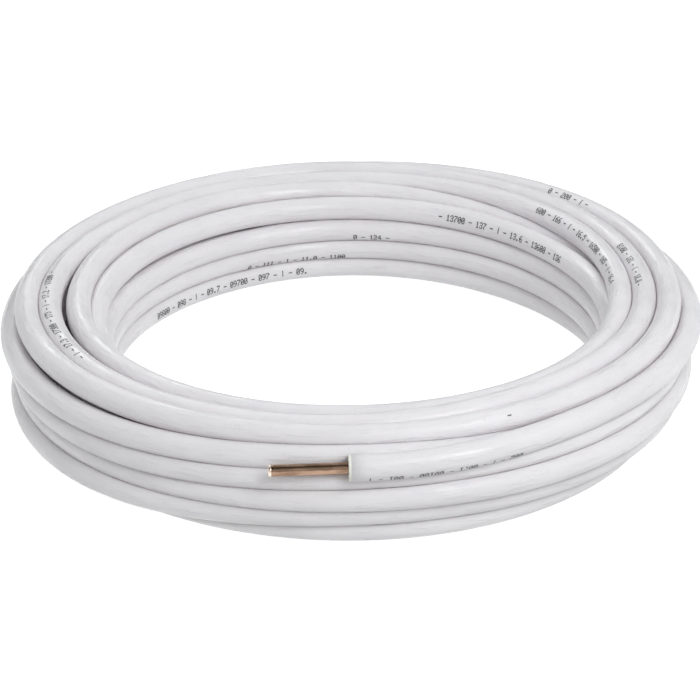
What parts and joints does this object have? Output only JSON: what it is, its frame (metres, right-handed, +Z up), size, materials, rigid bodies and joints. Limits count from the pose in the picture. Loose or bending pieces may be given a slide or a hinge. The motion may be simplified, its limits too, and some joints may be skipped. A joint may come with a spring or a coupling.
{
  "type": "insulated copper tube coil",
  "caption": "Flat coil of copper refrigeration tube in a white foam jacket, wound in loose layers round an open eye, with one bared copper end for a flared or brazed joint.",
  "frame": {"origin": "on the axis of the coil at floor level, at the mount coil_eye", "axes": "+Z up along the axis of the coil, -Y to the front where the free end is cut, +X to the right seen from the front"},
  "size_m": [0.6109, 0.6109, 0.0904],
  "materials": {
    "jacket": "white closed-cell foam with a thin satin skin",
    "copper": "drawn copper, lightly dulled, with a bright cut end"
  },
  "bodies": {
    "root": {"foam_jacket": "jacket", "copper_tube": "copper"}
  },
  "joints": []
}
